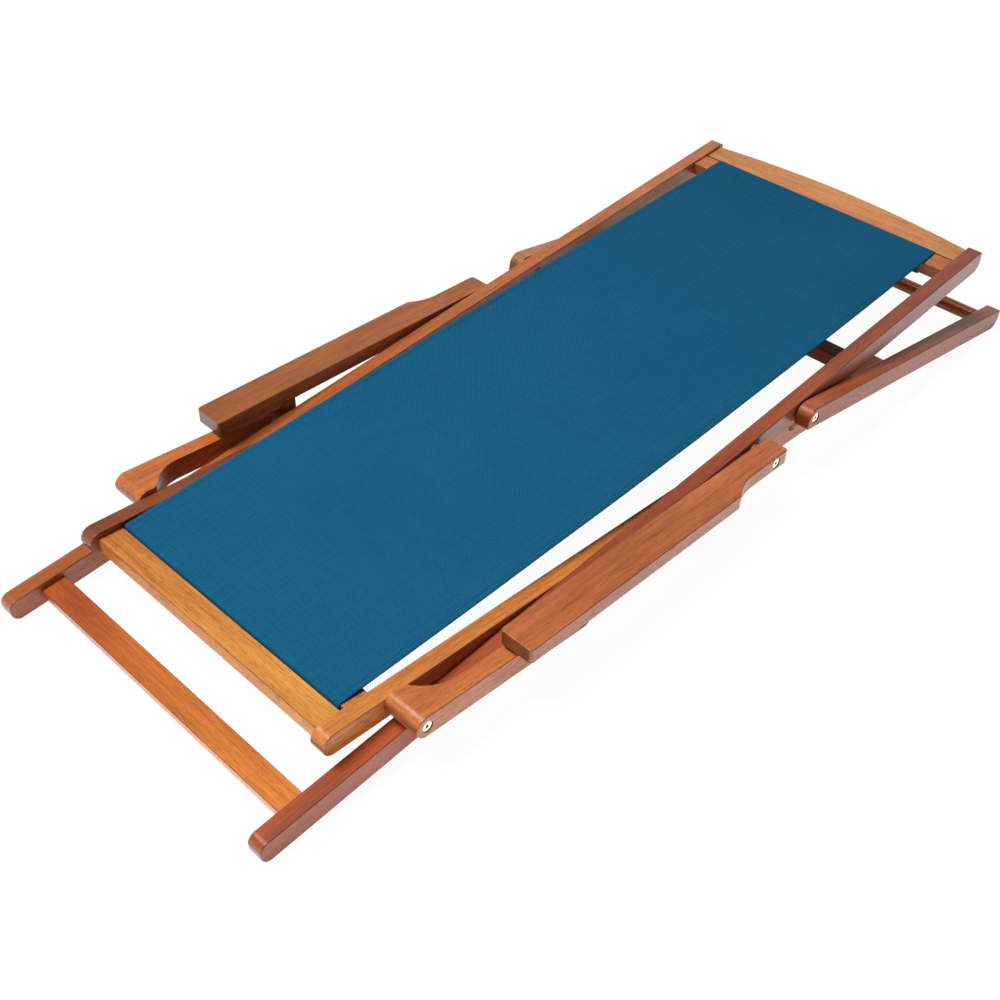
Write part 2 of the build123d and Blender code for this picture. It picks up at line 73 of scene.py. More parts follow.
def oiled_hardwood(name, turn, end_colours, ends, offset, oil):
    """Oiled hardwood with its grain along the x axis that the turn gives, and a colour at each end of the board.
    The eye sees growth layers as lines on the sides and round ends and as bands on the top, with straight fine
    streaks, dark pores and cloudy patches, under a satin film of oil."""
    layer_width = 0.0023
    streak_width = 0.0017
    cloud_width = 0.045
    # Real pores are 0.2 mm wide; they are drawn 1.1 mm wide so that the render shows them
    pore_width = 0.0011
    material = bpy.data.materials.new(name)
    material.use_nodes = True
    tree = material.node_tree
    shader = tree.nodes["Principled BSDF"]
    place = add(tree, "ShaderNodeTexCoord")
    lined = add(tree, "ShaderNodeMapping", {"Vector": place.outputs["Object"], "Rotation": turn, "Location": offset})
    flat_sawn = add(tree, "ShaderNodeMapping", {"Vector": lined.outputs["Vector"], "Scale": (0.02, 0.3, 1.0)})
    drawn = add(tree, "ShaderNodeMapping", {"Vector": lined.outputs["Vector"], "Scale": (0.035, 1.0, 1.0)})
    short = add(tree, "ShaderNodeMapping", {"Vector": lined.outputs["Vector"], "Scale": (0.1, 1.0, 1.0)})
    cloudy = add(tree, "ShaderNodeMapping", {"Vector": lined.outputs["Vector"], "Scale": (0.3, 1.0, 1.0)})
    layers = add(tree, "ShaderNodeTexNoise",
                 {"Vector": flat_sawn.outputs["Vector"], "Scale": 1 / layer_width, "Detail": 3.0, "Roughness": 0.6,
                  "Distortion": 0.2})
    streaks = add(tree, "ShaderNodeTexNoise",
                  {"Vector": drawn.outputs["Vector"], "Scale": 1 / streak_width, "Detail": 2.0, "Roughness": 0.6})
    clouds = add(tree, "ShaderNodeTexNoise",
                 {"Vector": cloudy.outputs["Vector"], "Scale": 1 / cloud_width, "Detail": 2.0, "Roughness": 0.5})
    grain = add(tree, "ShaderNodeMix", {"Factor": 0.45, "A": layers.outputs["Fac"], "B": streaks.outputs["Fac"]})
    tone = add(tree, "ShaderNodeMix", {"Factor": 0.3, "A": grain.outputs["Result"], "B": clouds.outputs["Fac"]})
    # Dark growth is redder than pale growth
    growth = paint_ramp(add(tree, "ShaderNodeValToRGB", {"Fac": tone.outputs["Result"]}),
                        [(0.36, "#FFF0E6", 0.66), (0.5, "#FFFFFF", 1.03), (0.64, "#FAFFFF", 1.4)])
    along_board = add(tree, "ShaderNodeSeparateXYZ", {"Vector": lined.outputs["Vector"]})
    far_share = add(tree, "ShaderNodeMapRange", {"Value": along_board.outputs["X"], "From Min": offset[0] + ends[0],
                                                 "From Max": offset[0] + ends[1]})
    timber = add(tree, "ShaderNodeMix", {"Factor": far_share.outputs["Result"], "A": linear(end_colours[0]),
                                         "B": linear(end_colours[1])}, data_type="RGBA")
    toned = add(tree, "ShaderNodeMix", {"Factor": 1.0, "A": timber.outputs["Result"], "B": growth.outputs["Color"]},
                data_type="RGBA", blend_type="MULTIPLY")
    pores = add(tree, "ShaderNodeTexNoise",
                {"Vector": short.outputs["Vector"], "Scale": 1 / pore_width, "Detail": 2.0, "Roughness": 0.6})
    facing = add(tree, "ShaderNodeMapping", {"Vector": place.outputs["Normal"], "Rotation": turn},
                 vector_type="NORMAL")
    way = add(tree, "ShaderNodeSeparateXYZ", {"Vector": facing.outputs["Vector"]})
    # The sides are cut across the growth layers, so their pores lie open and show more
    side_share = add(tree, "ShaderNodeMath", {0: way.outputs["Y"]}, operation="ABSOLUTE")
    pore_depth = add(tree, "ShaderNodeMapRange",
                     {"Value": side_share.outputs["Value"], "From Min": 0.3, "From Max": 0.8, "To Min": 0.55,
                      "To Max": 1.0})
    pore_mask = add(tree, "ShaderNodeMapRange", {"Value": pores.outputs["Fac"], "From Min": 0.5, "From Max": 0.68,
                                                 "To Max": pore_depth.outputs["Result"]})
    pored = add(tree, "ShaderNodeMix", {"Factor": pore_mask.outputs["Result"], "A": toned.outputs["Result"],
                                        "B": (0.35, 0.35, 0.35, 1.0)}, data_type="RGBA", blend_type="MULTIPLY")
    # End grain drinks more oil, so faces square to the grain are darker
    end_share = add(tree, "ShaderNodeMath", {0: way.outputs["X"]}, operation="ABSOLUTE")
    end_mask = add(tree, "ShaderNodeMapRange",
                   {"Value": end_share.outputs["Value"], "From Min": 0.82, "From Max": 1.0, "To Max": 0.9})
    ended = add(tree, "ShaderNodeMix", {"Factor": end_mask.outputs["Result"], "A": pored.outputs["Result"],
                                        "B": (0.34, 0.3, 0.28, 1.0)}, data_type="RGBA", blend_type="MULTIPLY")
    # The rounded long edges are drawn darker, as thin dark lines
    edge_side = add(tree, "ShaderNodeMath", {0: way.outputs["Y"], 1: way.outputs["Z"]}, operation="MULTIPLY")
    edge_share = add(tree, "ShaderNodeMath", {0: edge_side.outputs["Value"]}, operation="ABSOLUTE")
    edge_mask = add(tree, "ShaderNodeMapRange",
                    {"Value": edge_share.outputs["Value"], "From Min": 0.06, "From Max": 0.35})
    darker_edges = add(tree, "ShaderNodeMix", {"Factor": edge_mask.outputs["Result"], "A": ended.outputs["Result"],
                                         "B": (0.5, 0.42, 0.36, 1.0)}, data_type="RGBA", blend_type="MULTIPLY")
    gloss = add(tree, "ShaderNodeMapRange", {"Value": pores.outputs["Fac"], "To Min": 0.26, "To Max": 0.42})
    relief = add(tree, "ShaderNodeBump",
                 {"Height": pores.outputs["Fac"], "Strength": 0.2, "Distance": 0.0003}, invert=True)
    tree.links.new(darker_edges.outputs["Result"], shader.inputs["Base Color"])
    tree.links.new(gloss.outputs["Result"], shader.inputs["Roughness"])
    tree.links.new(relief.outputs["Normal"], shader.inputs["Normal"])
    shader.inputs["Specular IOR Level"].default_value = oil
    shader.inputs["IOR"].default_value = 1.5
    return material


def finish_node(node, material):
    """Give a CAD node one finish."""
    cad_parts[node].data.materials.clear()
    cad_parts[node].data.materials.append(material)


# Slopes of the two folded frames, in degrees
back_slope = 5.1
seat_slope = -2.905
# Slope of each pair of boards, the colours of the left and of the right board at the foot end and at the head end, and
# how much of the oil is left on the surface
boards = {
    "back_rail": (back_slope, ("#A84A18", "#7F402A"), ("#A45216", "#B0683C"), 0.48),
    "seat_rail": (seat_slope, ("#D4823C", "#B8602C"), ("#803C0E", "#803C0E"), 0.48),
    "prop_rail": (-9.173, ("#A4542F", "#914A2C"), ("#AB6D45", "#AB6D45"), 0.2),
    "arm_post": (-3.8, ("#C06D34", "#C06D34"), ("#C87030", "#B25922"), 0.48),
    "arm": (-0.8, ("#AD5E30", "#AD5E30"), ("#914C16", "#A75B24"), 0.48),
}
for number, (board, (slope, left_colours, right_colours, oil)) in enumerate(boards.items()):
    for hand, end_colours, shift in (("left", left_colours, 0.0), ("right", right_colours, 1.7)):
        low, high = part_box(f"{board}_{hand}")
        # Each board has its own place in the grain, so that no two look alike
        finish_node(f"{board}_{hand}",
                    oiled_hardwood(f"oiled_hardwood_{board}_{hand}", (0.0, radians(slope), 0.0), end_colours,
                                   (low[0], high[0]), (0.37 * number + shift, 0.11 * number + shift, 0.05 * number),
                                   oil))

# The arm cleats are blocks with upright grain, glued into the arms by a tenon
cleat_colour = "#A0582C"
upright = oiled_hardwood("oiled_hardwood_cleat", (0.0, radians(90), 0.0), (cleat_colour, cleat_colour), (0.0, 0.1),
                         (0.6, 0.2, 0.1), 0.48)
for node in ("arm_cleat_left", "arm_cleat_right"):
    finish_node(node, upright)

# Cross pieces
# Straight bars of the same oiled hardwood, tenoned between the rails, with the grain across the chair. The front rail
# and the crest rail are golden, the foot stretcher and the bars more orange, and the rear stretcher is the darkest:
# its dark colour is partly painted shade, as it lies under the sling.
cross_ends = (-0.2, 0.2)

# The colours of each at its left and right end, and how much of the oil is left on the surface
cross_pieces = {
    "seat_front_rail": ("#DD9747", "#CE7F3B", 0.25),
    "crest_rail": ("#C07F4B", "#C07F4B", 0.4),
    "foot_stretcher": ("#D67D2C", "#AF5014", 0.4),
    "head_sling_bar": ("#B36839", "#B36839", 0.4),
    "seat_sling_bar": ("#C07C3E", "#C07C3E", 0.4),
    "prop_bar": ("#A0521E", "#A0521E", 0.2),
    # Painted shade: the rear stretcher's very dark colour partly stands for the shade under the sling
    "seat_rear_stretcher": ("#802A10", "#802A10", 0.13),
}
for number, (node, (left_colour, right_colour, oil)) in enumerate(cross_pieces.items()):
    finish_node(node, oiled_hardwood(f"oiled_hardwood_{node}", (0.0, 0.0, radians(-90)), (left_colour, right_colour),
                                     cross_ends, (0.2 + 0.29 * number, 0.4, 0.7 + 0.13 * number), oil))

# Pivot hardware
# Brass-plated steel bolts with flat heads and a hexagon socket, bronzed cap nuts and washers on the inner faces, and
# a red-brown nylon ring between each arm and its rail.


def plated_bolt(node):
    """Brass plating: bright, with a little dulling, and the hexagon socket of the head painted near-black as the shade
    inside it.
    """
    # Dull patches about 3 mm across
    patch_width = 0.003
    socket_reach = 0.0024
    socket_depth = 0.0003
    low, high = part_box(node)
    outer_face = max(abs(low[1]), abs(high[1]))
    plated = bpy.data.materials.new(f"brass_plated_steel_{node}")
    plated.use_nodes = True
    tree = plated.node_tree
    shader = tree.nodes["Principled BSDF"]
    place = add(tree, "ShaderNodeTexCoord")
    patches = add(tree, "ShaderNodeTexNoise",
                  {"Vector": place.outputs["Object"], "Scale": 1 / patch_width, "Detail": 4.0})
    plating = paint_ramp(add(tree, "ShaderNodeValToRGB", {"Fac": patches.outputs["Fac"]}),
                         [(0.35, "#E2D5B2", 1.0), (0.65, "#FAF3E2", 1.0)])
    from_axis = add(tree, "ShaderNodeVectorMath",
                    {0: place.outputs["Object"], 1: ((low[0] + high[0]) / 2, 0.0, (low[2] + high[2]) / 2)},
                    operation="SUBTRACT")
    parts = add(tree, "ShaderNodeSeparateXYZ", {"Vector": from_axis.outputs["Vector"]})
    flat = add(tree, "ShaderNodeCombineXYZ", {"X": parts.outputs["X"], "Z": parts.outputs["Z"]})
    radius = add(tree, "ShaderNodeVectorMath", {0: flat.outputs["Vector"]}, operation="LENGTH")
    near_axis = add(tree, "ShaderNodeMath", {0: radius.outputs["Value"], 1: socket_reach}, operation="LESS_THAN")
    side = add(tree, "ShaderNodeMath", {0: parts.outputs["Y"]}, operation="ABSOLUTE")
    sunk = add(tree, "ShaderNodeMath", {0: side.outputs["Value"], 1: outer_face - socket_depth}, operation="LESS_THAN")
    # Painted shade: the hexagon socket of the head is drawn near-black for the shade that falls inside it
    socket_shade = add(tree, "ShaderNodeMath", {0: near_axis.outputs["Value"], 1: sunk.outputs["Value"]},
                  operation="MULTIPLY")
    colour = add(tree, "ShaderNodeMix", {"Factor": socket_shade.outputs["Value"], "A": plating.outputs["Color"],
                                         "B": linear("#2A211A")}, data_type="RGBA")
    dulling = add(tree, "ShaderNodeMapRange", {"Value": patches.outputs["Fac"], "To Min": 0.18, "To Max": 0.45})
    tree.links.new(colour.outputs["Result"], shader.inputs["Base Color"])
    tree.links.new(dulling.outputs["Result"], shader.inputs["Roughness"])
    shader.inputs["Metallic"].default_value = 1.0
    return plated


def mottled(name, dark, pale, patch_width, rough, metallic):
    """A finish whose colour and roughness change a little, in patches of the given width in metres."""
    material = bpy.data.materials.new(name)
    material.use_nodes = True
    tree = material.node_tree
    place = add(tree, "ShaderNodeTexCoord")
    patches = add(tree, "ShaderNodeTexNoise",
                  {"Vector": place.outputs["Object"], "Scale": 1 / patch_width, "Detail": 4.0})
    colour = paint_ramp(add(tree, "ShaderNodeValToRGB", {"Fac": patches.outputs["Fac"]}),
                        [(0.35, dark, 1.0), (0.65, pale, 1.0)])
    dulling = add(tree, "ShaderNodeMapRange",
                  {"Value": patches.outputs["Fac"], "To Min": rough[0], "To Max": rough[1]})
    shader = tree.nodes["Principled BSDF"]
    tree.links.new(colour.outputs["Color"], shader.inputs["Base Color"])
    tree.links.new(dulling.outputs["Result"], shader.inputs["Roughness"])
    shader.inputs["Metallic"].default_value = metallic
    return material


for node in ("frame_pivot_bolts", "post_foot_bolts", "prop_pivot_bolts", "arm_pivot_bolts", "post_top_bolt_left",
             "post_top_bolt_right"):
    finish_node(node, plated_bolt(node))
# Bronzed steel: dark brown, with a dull shine; the brown is drawn very dark, partly as painted shade where these parts
# sit on the shaded inner faces
bronze_and_shade = mottled("bronzed_steel_and_painted_shade", "#3A2618", "#57402C", 0.003, (0.35, 0.55), 1.0)
for node in ("frame_pivot_nuts", "post_foot_nuts", "prop_pivot_nuts", "arm_pivot_nuts", "frame_pivot_washers",
             "prop_pivot_washers", "cleat_insert_left", "cleat_insert_right"):
    finish_node(node, bronze_and_shade)
# Moulded nylon: matt and even, with a fine orange peel
finish_node("arm_pivot_spacers", mottled("red_brown_nylon", "#8E4322", "#A85630", 0.002, (0.45, 0.6), 0.0))

# Sling
# One length of plain-woven polyester, hemmed along both long edges. Each end goes over a bar, round its outer side and
# back underneath, where it is sewn to the sheet as a sleeve. Folded flat, the cloth is stretched between the bars.
sling_width = 0.401
sling_bow = 0.006
seat_shift = 0.004
head_shift = 0.001
cloth_thickness = 0.0010
hem_width = 0.012
hem_fold = 0.0013
hem_flat = 0.004
hem_round = 0.0008
hem_stitch = 0.008
seat_bar_width = 0.034
seat_bar_thickness = 0.015
head_bar_width = 0.031
head_bar_thickness = 0.020
bar_round = 0.0012
cloth_off_bar = 0.0021
sleeve_run = 0.010
sleeve_turn = 0.7
sleeve_gap = 0.0034
sew_run = 0.012
tail_tuck = 0.05
tail_bend = 0.35
tail_dip = 0.002


def bar_frame(node, tilt):
    """Middle of a sling bar and its along-frame and upward directions, in X and Z."""
    low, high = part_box(node)
    middle = Vector(((low[0] + high[0]) / 2, (low[2] + high[2]) / 2))
    slope = radians(tilt)
    return middle, Vector((cos(slope), sin(slope))), Vector((-sin(slope), cos(slope)))


def arc(centre, radius, start, end, steps):
    """Points of an arc in X and Z between two angles."""
    return [centre + radius * Vector((cos(a), sin(a)))
            for a in (start + (end - start) * step / steps for step in range(steps + 1))]


def sleeve(node, tilt, width, thickness, outward, sheet_angle):
    """Way of the cloth round one bar, from the sheet's tangent point over the outer side to the lower inner corner."""
    middle, along, up = bar_frame(node, tilt)
    reach = width / 2 - bar_round
    rise = thickness / 2 - bar_round
    radius = bar_round + cloth_off_bar
    slope = radians(tilt)
    upper = middle + outward * reach * along + rise * up
    lower = middle + outward * reach * along - rise * up
    inner = middle - outward * reach * along - rise * up
    outer_angle = slope if outward > 0 else slope + pi
    down_angle = slope - pi / 2 if outward > 0 else slope + 3 * pi / 2
    points = arc(upper, radius, sheet_angle, outer_angle, 8)
    points += arc(lower, radius, outer_angle, down_angle, 6)
    points += arc(inner, radius, down_angle, down_angle - outward * sleeve_turn, 4)
    return points, upper


seat_bar = ("seat_sling_bar", seat_slope, seat_bar_width, seat_bar_thickness, -1)
head_bar = ("head_sling_bar", back_slope, head_bar_width, head_bar_thickness, 1)
seat_corner = sleeve(*seat_bar, pi / 2)[1]
head_corner = sleeve(*head_bar, pi / 2)[1]
sheet_way = (head_corner - seat_corner).normalized()
sheet_up = Vector((-sheet_way.y, sheet_way.x))
up_angle = atan2(sheet_up.y, sheet_up.x)
seat_wrap = sleeve(*seat_bar, up_angle)[0]
head_wrap = sleeve(*head_bar, up_angle)[0]
seat_leave = seat_wrap[0]
head_leave = head_wrap[0]
sheet_length = (head_leave - seat_leave).length


def sewn_tail(leave, way, width, last):
    """End of the cloth under the sheet: from the sleeve's lower corner up to the seam, then along it."""
    seam = leave + (width + sleeve_run) * way - sleeve_gap * sheet_up
    tip = seam + sew_run * way
    bend = last + (seam - last) * tail_bend - tail_dip * sheet_up
    return [last.lerp(bend, 0.5), bend, bend.lerp(seam, 0.35), bend.lerp(seam, 0.7), seam, seam.lerp(tip, 0.5), tip]


seat_tail = sewn_tail(seat_leave, sheet_way, seat_bar_width, seat_wrap[-1])
head_tail = sewn_tail(head_leave, -sheet_way, head_bar_width, head_wrap[-1])
sheet_steps = 96
sheet_sag = 0.002
sheet_points = []
for step in range(1, sheet_steps):
    share = step / sheet_steps
    sheet_points.append(seat_leave.lerp(head_leave, share) - sheet_sag * sin(pi * share) * sheet_up)
cloth_path = list(reversed(seat_tail)) + list(reversed(seat_wrap)) + sheet_points + head_wrap + head_tail
sheet_first = len(seat_tail) + len(seat_wrap) - 1
sheet_last = sheet_first + sheet_steps


def path_normals(path):
    """Unit normals of a path in X and Z, to its upper or outer side."""
    normals = []
    for at in range(len(path)):
        way = path[min(at + 1, len(path) - 1)] - path[max(at - 1, 0)]
        normals.append(Vector((-way.y, way.x)).normalized())
    return normals


cloth_normals = path_normals(cloth_path)
path_lengths = [0.0]
for before, after in zip(cloth_path, cloth_path[1:]):
    path_lengths.append(path_lengths[-1] + (after - before).length)
cloth_length = path_lengths[-1]
# Across the cloth: hem turned under, its rounded fold, the sheet, and the other hem
edge = sling_width / 2
hem_side = [(edge - hem_width, -hem_fold), (edge - hem_flat, -hem_fold), (edge - hem_round, -hem_fold * 0.9),
            (edge, -hem_fold * 0.5), (edge - hem_round, 0.0), (edge - hem_flat, 0.0), (edge - hem_width, 0.0)]
inner_columns = 25
middle_span = [(edge - hem_width) * (2 * at / inner_columns - 1) for at in range(1, inner_columns)]
cloth_profile = [(-y, n) for y, n in hem_side] + [(y, 0.0) for y in middle_span] + list(reversed(hem_side))
profile_lengths = [0.0]
for before, after in zip(cloth_profile, cloth_profile[1:]):
    profile_lengths.append(profile_lengths[-1] + hypot(after[0] - before[0], after[1] - before[1]))
cut_width = profile_lengths[-1]

# The sheet isn't perfectly flat: low broad ripples, about 160 mm long and 110 mm wide, fade out at the bars
ripple_height = 0.0012
ripples_along = 6
ripples_across = 9
cloth_mesh = bpy.data.meshes.new("sling_cloth")
weaver = bmesh.new()
thread_map = weaver.loops.layers.uv.new("threads")
rows = []
for at, (point, normal) in enumerate(zip(cloth_path, cloth_normals)):
    share = min(max((at - sheet_first) / sheet_steps, 0.0), 1.0)
    # The sleeves' seams draw the sheet in, so it is wider between them
    widen = 1 + sling_bow / edge * sin(pi * share)
    # The tails under the bars are cut narrower, so that they don't show beside the sheet
    under = max(sheet_first - at, at - sheet_last, 0) / (len(seat_wrap) - 1)
    widen -= tail_tuck * min(max(2 * under - 1, 0.0), 1.0)
    shift = seat_shift + (head_shift - seat_shift) * share
    row = []
    for y, lift in cloth_profile:
        wave = noise.noise(Vector((point.x * ripples_along, y * ripples_across, 4.0)))
        out = lift + ripple_height * sin(pi * share) * wave
        row.append(weaver.verts.new((point.x + normal.x * out, y * widen + shift, point.y + normal.y * out)))
    rows.append(row)
for at in range(len(rows) - 1):
    for column in range(len(cloth_profile) - 1):
        corners = ((at, column), (at + 1, column), (at + 1, column + 1), (at, column + 1))
        face = weaver.faces.new([rows[i][j] for i, j in corners])
        face.smooth = True
        for loop, (i, j) in zip(face.loops, corners):
            loop[thread_map].uv = (profile_lengths[j], path_lengths[i])
bmesh.ops.recalc_face_normals(weaver, faces=weaver.faces[:])
weaver.to_mesh(cloth_mesh)
weaver.free()
cloth = bpy.data.objects.new("sling_cloth", cloth_mesh)
bpy.context.scene.collection.objects.link(cloth)
thickness = cloth.modifiers.new("thickness", "SOLIDIFY")
thickness.thickness = cloth_thickness
thickness.offset = 0.0
thickness.use_rim = True

# Plain weave of solution-dyed polyester yarn: matt, with a soft sheen at low angles
weave = bpy.data.materials.new("woven_blue_polyester")
weave.use_nodes = True
weave_tree = weave.node_tree
weave_shader = weave_tree.nodes["Principled BSDF"]
# Real yarns are 0.5 mm apart; they are drawn 1.7 mm apart so that the render shows them
yarn_spacing = 0.0017
# A wave texture at scale 1 has a band every 0.314 m
wave_band = 0.314
threads = add(weave_tree, "ShaderNodeUVMap", uv_map="threads")
warp = add(weave_tree, "ShaderNodeTexWave", {"Vector": threads.outputs["UV"], "Scale": wave_band / yarn_spacing},
           bands_direction="X")
weft = add(weave_tree, "ShaderNodeTexWave", {"Vector": threads.outputs["UV"], "Scale": wave_band / yarn_spacing},
           bands_direction="Y")
over_under = add(weave_tree, "ShaderNodeTexChecker",
                 {"Vector": threads.outputs["UV"], "Scale": 1 / yarn_spacing, "Color1": (1, 1, 1, 1),
                  "Color2": (0, 0, 0, 1)})
yarn_height = add(weave_tree, "ShaderNodeMix", {"Factor": over_under.outputs["Fac"], "A": warp.outputs["Fac"],
                                                "B": weft.outputs["Fac"]})
# Slubs: slow changes of yarn thickness, in both directions
slub_width = 0.001
slub_length = 0.0625
slub_long = add(weave_tree, "ShaderNodeMapping",
                {"Vector": threads.outputs["UV"], "Scale": (1 / slub_width, 1 / slub_length, 1.0)})
slub_wide = add(weave_tree, "ShaderNodeMapping",
                {"Vector": threads.outputs["UV"], "Scale": (1 / slub_length, 1 / slub_width, 1.0)})
slubs_one = add(weave_tree, "ShaderNodeTexNoise", {"Vector": slub_long.outputs["Vector"], "Scale": 1.0})
slubs_two = add(weave_tree, "ShaderNodeTexNoise", {"Vector": slub_wide.outputs["Vector"], "Scale": 1.0})
slubs = add(weave_tree, "ShaderNodeMix", {"Factor": 0.5, "A": slubs_one.outputs["Fac"], "B": slubs_two.outputs["Fac"]})
# Broad fading in patches
fade_width = 0.2
fading = add(weave_tree, "ShaderNodeTexNoise",
             {"Vector": threads.outputs["UV"], "Scale": 1 / fade_width, "Detail": 2.0})
yarn_tone = add(weave_tree, "ShaderNodeMix", {"Factor": 0.55, "A": yarn_height.outputs["Result"],
                                              "B": slubs.outputs["Result"]})
dye = paint_ramp(add(weave_tree, "ShaderNodeValToRGB", {"Fac": yarn_tone.outputs["Result"]}),
                 [(0.39, "#093854", 1.0), (0.5, "#10567A", 1.0), (0.61, "#1E739C", 1.0)])
# The dye with its random fading, the painted shade of the stitch groove and the painted falloff towards the head end
faded_and_shaded = add(weave_tree, "ShaderNodeHueSaturation", {"Color": dye.outputs["Color"]})
fade_value = add(weave_tree, "ShaderNodeMapRange", {"Value": fading.outputs["Fac"], "From Min": 0.3, "From Max": 0.7,
                                                    "To Min": 0.95, "To Max": 1.06})
# The hem's stitches press a line into the cloth, 8 mm from each edge; the cloth stays flat there, and the line is a
# darker band of painted shade
groove_width = 0.0022
groove_at = profile_lengths[3] + hem_stitch
across_cloth = add(weave_tree, "ShaderNodeSeparateXYZ", {"Vector": threads.outputs["UV"]})
other_side = add(weave_tree, "ShaderNodeMath", {0: cut_width, 1: across_cloth.outputs["X"]}, operation="SUBTRACT")
from_end = add(weave_tree, "ShaderNodeMath", {0: across_cloth.outputs["X"], 1: other_side.outputs["Value"]},
               operation="MINIMUM")
off_groove = add(weave_tree, "ShaderNodeMath", {0: from_end.outputs["Value"], 1: groove_at}, operation="SUBTRACT")
off_line = add(weave_tree, "ShaderNodeMath", {0: off_groove.outputs["Value"]}, operation="ABSOLUTE")
groove_shade = add(weave_tree, "ShaderNodeMapRange", {"Value": off_line.outputs["Value"], "From Max": groove_width / 2,
                                                "To Min": 0.62, "To Max": 1.0})
# Random fading times the painted shade of the stitch groove
fading_and_groove_shade = add(weave_tree, "ShaderNodeMath", {0: fade_value.outputs["Result"], 1: groove_shade.outputs["Result"]},
              operation="MULTIPLY")
# The cloth is drawn lighter at the seat end and darker towards the head end: painted shade for light falling off along
# the sheet
painted_falloff = add(weave_tree, "ShaderNodeMapRange", {"Value": across_cloth.outputs["Y"], "From Max": cloth_length,
                                              "To Min": 1.05, "To Max": 0.69})
shade = add(weave_tree, "ShaderNodeMath", {0: fading_and_groove_shade.outputs["Value"], 1: painted_falloff.outputs["Result"]},
            operation="MULTIPLY")
weave_tree.links.new(shade.outputs["Value"], faded_and_shaded.inputs["Value"])
yarn_relief = add(weave_tree, "ShaderNodeBump",
                  {"Height": yarn_height.outputs["Result"], "Strength": 0.35, "Distance": 0.0003})
weave_tree.links.new(faded_and_shaded.outputs["Color"], weave_shader.inputs["Base Color"])
weave_tree.links.new(yarn_relief.outputs["Normal"], weave_shader.inputs["Normal"])
weave_shader.inputs["Roughness"].default_value = 0.88
weave_shader.inputs["Specular IOR Level"].default_value = 0.08
weave_shader.inputs["Sheen Weight"].default_value = 0.015
weave_shader.inputs["Sheen Roughness"].default_value = 0.5
weave_shader.inputs["Sheen Tint"].default_value = linear("#9CC6DC")
cloth_mesh.materials.append(weave)

# Seams of the sling
# Lockstitch in matching polyester thread: one row along each hem, 8 mm from the edge, and one across each sleeve.
stitch_pitch = 0.0034
stitch_length = 0.0025
thread_diameter = 0.0006
twist_pitch = 0.001
seam_inset = 0.002
seam_steps = 40
thread = bpy.data.materials.new("polyester_sewing_thread")
thread.use_nodes = True
thread_shader = thread.node_tree.nodes["Principled BSDF"]
thread_place = add(thread.node_tree, "ShaderNodeTexCoord")
# Spun polyester thread of two plies: their twist shows as fine slanting bands with a soft shine
twist = add(thread.node_tree, "ShaderNodeTexWave",
            {"Vector": thread_place.outputs["Object"], "Scale": wave_band / twist_pitch}, bands_direction="DIAGONAL")
ply = paint_ramp(add(thread.node_tree, "ShaderNodeValToRGB", {"Fac": twist.outputs["Fac"]}),
                 [(0.2, "#0C3F5C", 1.0), (0.8, "#145473", 1.0)])
thread.node_tree.links.new(ply.outputs["Color"], thread_shader.inputs["Base Color"])
thread_shader.inputs["Roughness"].default_value = 0.6

seam_lines = []
on_top = cloth_thickness / 2 + thread_diameter / 5
for side in (-1, 1):
    hem_line = []
    for at in range(sheet_first, sheet_last + 1):
        share = (at - sheet_first) / sheet_steps
        hem_line.append((cloth_path[at] + on_top * cloth_normals[at],
                         side * (edge - hem_stitch + sling_bow * sin(pi * share))
                         + seat_shift + (head_shift - seat_shift) * share))
    seam_lines.append(hem_line)
for bar_end, way, width, shift in ((seat_leave, sheet_way, seat_bar_width, seat_shift),
                                   (head_leave, -sheet_way, head_bar_width, head_shift)):
    along_sheet = width + sleeve_run + sew_run / 2
    sag = sheet_sag * sin(pi * along_sheet / sheet_length)
    seam_at = bar_end + along_sheet * way + (on_top - sag) * sheet_up
    seam_lines.append([(seam_at, (edge - seam_inset) * (2 * at / seam_steps - 1) + shift)
                       for at in range(seam_steps + 1)])
seam_mesh = bpy.data.meshes.new("seam_lines")
seam_points = []
seam_edges = []
for line in seam_lines:
    seam_edges += [(len(seam_points) + at, len(seam_points) + at + 1) for at in range(len(line) - 1)]
    seam_points += [(point.x, y, point.y) for point, y in line]
seam_mesh.from_pydata(seam_points, seam_edges, [])
seam_guide = bpy.data.objects.new("seam_lines", seam_mesh)
bpy.context.scene.collection.objects.link(seam_guide)

stitching = bpy.data.node_groups.new("lockstitch", "GeometryNodeTree")
stitching.interface.new_socket("Geometry", in_out="INPUT", socket_type="NodeSocketGeometry")
pitch_socket = stitching.interface.new_socket("Pitch", in_out="INPUT", socket_type="NodeSocketFloat")
length_socket = stitching.interface.new_socket("Stitch length", in_out="INPUT", socket_type="NodeSocketFloat")
thread_socket = stitching.interface.new_socket("Thread diameter", in_out="INPUT", socket_type="NodeSocketFloat")
stitching.interface.new_socket("Geometry", in_out="OUTPUT", socket_type="NodeSocketGeometry")
sizes_in = add(stitching, "NodeGroupInput")
seam_curve = add(stitching, "GeometryNodeMeshToCurve", {"Mesh": sizes_in.outputs["Geometry"]})
stitch_points = add(stitching, "GeometryNodeCurveToPoints",
                    {"Curve": seam_curve.outputs["Curve"], "Length": sizes_in.outputs["Pitch"]}, mode="LENGTH")
bead = add(stitching, "GeometryNodeMeshUVSphere", {"Segments": 6, "Rings": 5, "Radius": 0.5})
bead_size = add(stitching, "ShaderNodeCombineXYZ",
                {"X": sizes_in.outputs["Thread diameter"], "Y": sizes_in.outputs["Thread diameter"],
                 "Z": sizes_in.outputs["Stitch length"]})
laid = add(stitching, "GeometryNodeInstanceOnPoints",
           {"Points": stitch_points.outputs["Points"], "Instance": bead.outputs["Mesh"],
            "Rotation": stitch_points.outputs["Rotation"], "Scale": bead_size.outputs["Vector"]})
